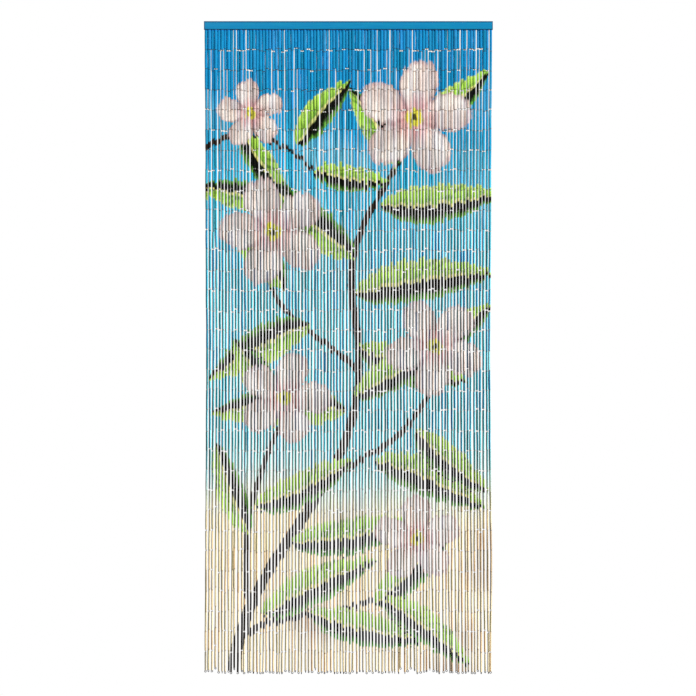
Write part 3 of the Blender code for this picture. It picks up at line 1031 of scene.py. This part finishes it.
def eye_paths(strands):
    """A wire that comes out of the last tube, goes round in a loop and back up to its own neck."""
    local = np.random.default_rng(900)
    paths = []
    for s in range(STRAND_COUNT):
        wide = EYE_RADIUS * local.uniform(0.86, 1.04)
        turn = local.uniform(0, math.pi)
        off = local.uniform(-0.35, 0.35)
        lift = 0.0006
        points = [(-0.0004, 0.0, EYE_RADIUS + 0.0042), (-0.0004, 0.0, EYE_RADIUS + 0.0016)]
        loop = EYE_STEPS - 5
        for i in range(loop):
            a = math.radians(104) + math.radians(352 - 2 * 14) * i / (loop - 1)
            drop = 1.0 - 0.30 * max(0.0, math.sin(a))          # the loop narrows to its neck
            points.append((wide * drop * math.cos(a), lift * (i / (loop - 1) - 0.5), EYE_RADIUS * math.sin(a)))
        points += [(0.0005, lift * 0.9, EYE_RADIUS + 0.0004), (0.0003, lift * 1.1, EYE_RADIUS + 0.0014),
                   (0.0001, lift * 1.1, EYE_RADIUS + 0.0036)]
        points = np.array(points)
        tilt = off * 0.4
        x = points[:, 0] * math.cos(tilt) + (points[:, 2] - EYE_RADIUS) * math.sin(tilt)
        z = (points[:, 2] - EYE_RADIUS) * math.cos(tilt) - points[:, 0] * math.sin(tilt) + EYE_RADIUS
        z = z - min(z) + EYE_WIRE
        y = points[:, 1]
        path = np.stack([lower_x[s, T - 1] + x * math.cos(turn) - y * math.sin(turn),
                         lower_y[s, T - 1] + x * math.sin(turn) + y * math.cos(turn),
                         end_z[s] + z], -1)
        paths.append(path)
    return np.array([paths[s] for s in strands])


def make_eyes():
    paths = eye_paths(range(STRAND_COUNT))
    count, steps = paths.shape[:2]
    co = tubes_along(paths, EYE_WIRE, EYE_SIDES).reshape(count, -1, 3)
    ends = np.stack([paths[:, 0], paths[:, -1]], 1)
    co = np.concatenate([co, ends], 1)
    quads, quad_uv, tris, tri_uv = [], [], [], []
    for i in range(steps - 1):
        for j in range(EYE_SIDES):
            j2 = (j + 1) % EYE_SIDES
            quads.append((i * EYE_SIDES + j, i * EYE_SIDES + j2, (i + 1) * EYE_SIDES + j2, (i + 1) * EYE_SIDES + j))
            u0, u1 = 0.03 + 0.94 * i / (steps - 1), 0.03 + 0.94 * (i + 1) / (steps - 1)
            v0, v1 = j / EYE_SIDES, (j + 1) / EYE_SIDES
            quad_uv.append(((u0, v0), (u0, v1), (u1, v1), (u1, v0)))
    first, last = steps * EYE_SIDES, steps * EYE_SIDES + 1
    base = (steps - 1) * EYE_SIDES
    for j in range(EYE_SIDES):
        j2 = (j + 1) % EYE_SIDES
        v0, v1 = j / EYE_SIDES, (j + 1) / EYE_SIDES
        tris.append((first, j2, j))
        tri_uv.append(((0.0, (v0 + v1) / 2), (0.03, v1), (0.03, v0)))
        tris.append((base + j, base + j2, last))
        tri_uv.append(((0.97, v0), (0.97, v1), (1.0, (v0 + v1) / 2)))
    columns = 5
    rows = math.ceil(count / columns)
    cell = np.stack([np.arange(count) % columns, np.arange(count) // columns], -1)

    def placed(uv):
        return (cell[:, None, None, :] + 0.04 + np.array(uv)[None] * 0.92) / np.array([columns, rows])

    shift = (np.arange(count) * (steps * EYE_SIDES + 2))[:, None, None]
    me = mesh_from("wire_end_eyes", co.reshape(-1, 3), (np.array(quads)[None] + shift).reshape(-1, 4),
                   (np.array(tris)[None] + shift).reshape(-1, 3),
                   placed(quad_uv).reshape(-1, 4, 2), placed(tri_uv).reshape(-1, 3, 2))
    return link_piece("wire_end_eyes", me, WIRE, "strand_comb")


def rings(rows, steps, sides, columns, start):
    """Corners, faces and map places of closed wire rings, laid on the map from cell number start on."""
    count = len(rows)
    cx, cy, cz, wide, high, wire, turn, narrow = rows.T[:8]
    psi = np.arange(steps) / steps * 2 * math.pi
    chi = np.arange(sides) / sides * 2 * math.pi + math.pi / 4
    flat = np.sin(psi)[None] * (1 - 0.30 * np.cos(psi)[None] * narrow[:, None])
    along = wide[:, None] * flat                              # across the ring
    up = high[:, None] * np.cos(psi)[None]
    a = along[:, :, None] + wire[:, None, None] * np.sin(psi)[None, :, None] * np.cos(chi)
    b = wire[:, None, None] * np.sin(chi)[None, None, :] * np.ones((count, steps, 1))
    c = up[:, :, None] + wire[:, None, None] * np.cos(psi)[None, :, None] * np.cos(chi)
    ct, st = np.cos(turn)[:, None, None], np.sin(turn)[:, None, None]
    x = cx[:, None, None] + a * ct - b * st
    y = cy[:, None, None] + a * st + b * ct
    z = cz[:, None, None] + c
    co = np.stack([x, y, z], -1).reshape(-1, 3)
    quads, uvs = [], []
    for i in range(steps):
        for j in range(sides):
            i2, j2 = (i + 1) % steps, (j + 1) % sides
            quads.append((i * sides + j, i * sides + j2, i2 * sides + j2, i2 * sides + j))
            u0, u1 = i / steps, (i + 1) / steps
            v0, v1 = j / sides, (j + 1) / sides
            uvs.append(((u0, v0), (u0, v1), (u1, v1), (u1, v0)))
    at = start + np.arange(count)
    cell = np.stack([at % columns, at // columns], -1)
    uv = (cell[:, None, None, :] + 0.06 + np.array(uvs)[None] * 0.88) / columns
    shift = (np.arange(count) * steps * sides)[:, None, None]
    return co, (np.array(quads)[None] + shift).reshape(-1, 4), uv.reshape(-1, 4, 2)


def make_wires(number, strands):
    rows = ring_table(strands)
    columns = math.ceil(math.sqrt(len(rows)))
    is_open = rows[:, 8] > 0.5
    open_co, open_quads, open_uv = rings(rows[is_open], *OPEN_RING, columns, 0)
    shut_co, shut_quads, shut_uv = rings(rows[~is_open], *SHUT_RING, columns, int(is_open.sum()))
    me = mesh_from(f"wire_links_{number:02d}", np.concatenate([open_co, shut_co]),
                   np.concatenate([open_quads, shut_quads + len(open_co)]), np.zeros((0, 3), int),
                   np.concatenate([open_uv, shut_uv]), np.zeros((0, 3, 2)))
    return link_piece(f"wire_links_{number:02d}", me, WIRE, "strand_comb")


def make_rail():
    """The slat: long faces cut into short lengths, edges rounded by wear, faces a little wavy."""
    bm = bmesh.new()
    bmesh.ops.create_cube(bm, size=1.0)
    for v in bm.verts:
        v.co = (v.co.x * RAIL_WIDTH, v.co.y * RAIL_DEPTH - RAIL_DEPTH / 2, v.co.z * RAIL_HEIGHT)
    bmesh.ops.bevel(bm, geom=list(bm.edges), offset=0.0011, segments=3, profile=0.6, affect="EDGES")
    for cut in range(1, 60):
        at = -RAIL_WIDTH / 2 + RAIL_WIDTH * cut / 60
        bmesh.ops.bisect_plane(bm, geom=list(bm.verts) + list(bm.edges) + list(bm.faces), dist=1e-6,
                               plane_co=(at, 0, 0), plane_no=(1, 0, 0))
    local = random.Random(12)
    phases = [local.uniform(0, 6.28) for _ in range(6)]
    for v in bm.verts:
        x = v.co.x
        wave = math.sin(x * 31 + phases[0]) * 0.5 + math.sin(x * 73 + phases[1]) * 0.3
        if v.co.y < -RAIL_DEPTH / 2:
            v.co.y += 0.00006 * (wave + 0.8)
        wave = math.sin(x * 23 + phases[2]) * 0.5 + math.sin(x * 91 + phases[3]) * 0.3
        inward = -1 if v.co.z > 0 else 1
        v.co.z += inward * 0.00005 * (wave + 0.8)
    me = bpy.data.meshes.new("rail_slat")
    bm.to_mesh(me)
    bm.free()
    for poly in me.polygons:
        poly.use_smooth = True
    me.set_sharp_from_angle(angle=math.radians(50))
    return link_piece("rail_slat", me, RAIL, "rail")


make_rail()
for number, start in enumerate(range(0, STRAND_COUNT, STRANDS_PER_PIECE)):
    make_tubes(number, list(range(start, start + STRANDS_PER_PIECE)))
for number, start in enumerate(range(0, STRAND_COUNT, STRANDS_PER_WIRE_PIECE)):
    make_wires(number, list(range(start, start + STRANDS_PER_WIRE_PIECE)))
make_eyes()


# ================================================================= the floor
def make_floor():
    bpy.ops.mesh.primitive_circle_add(vertices=96, radius=1.9, fill_type="NGON", location=(0.0, -0.75, LOWEST_Z - 0.30))
    ob = bpy.context.active_object
    ob.name = "studio_floor"
    n = Nodes("studio_floor")
    soft = n.noise(n.scaled(n.place(), (3.0, 3.0, 3.0)), 1.0, 3.0, 0.5)
    n.finish(n.mix(soft, (0.80, 0.80, 0.79), (0.86, 0.86, 0.85)), n.math("MULTIPLY_ADD", soft, 0.1, 0.7))
    ob.data.materials.append(n.mat)


make_floor()
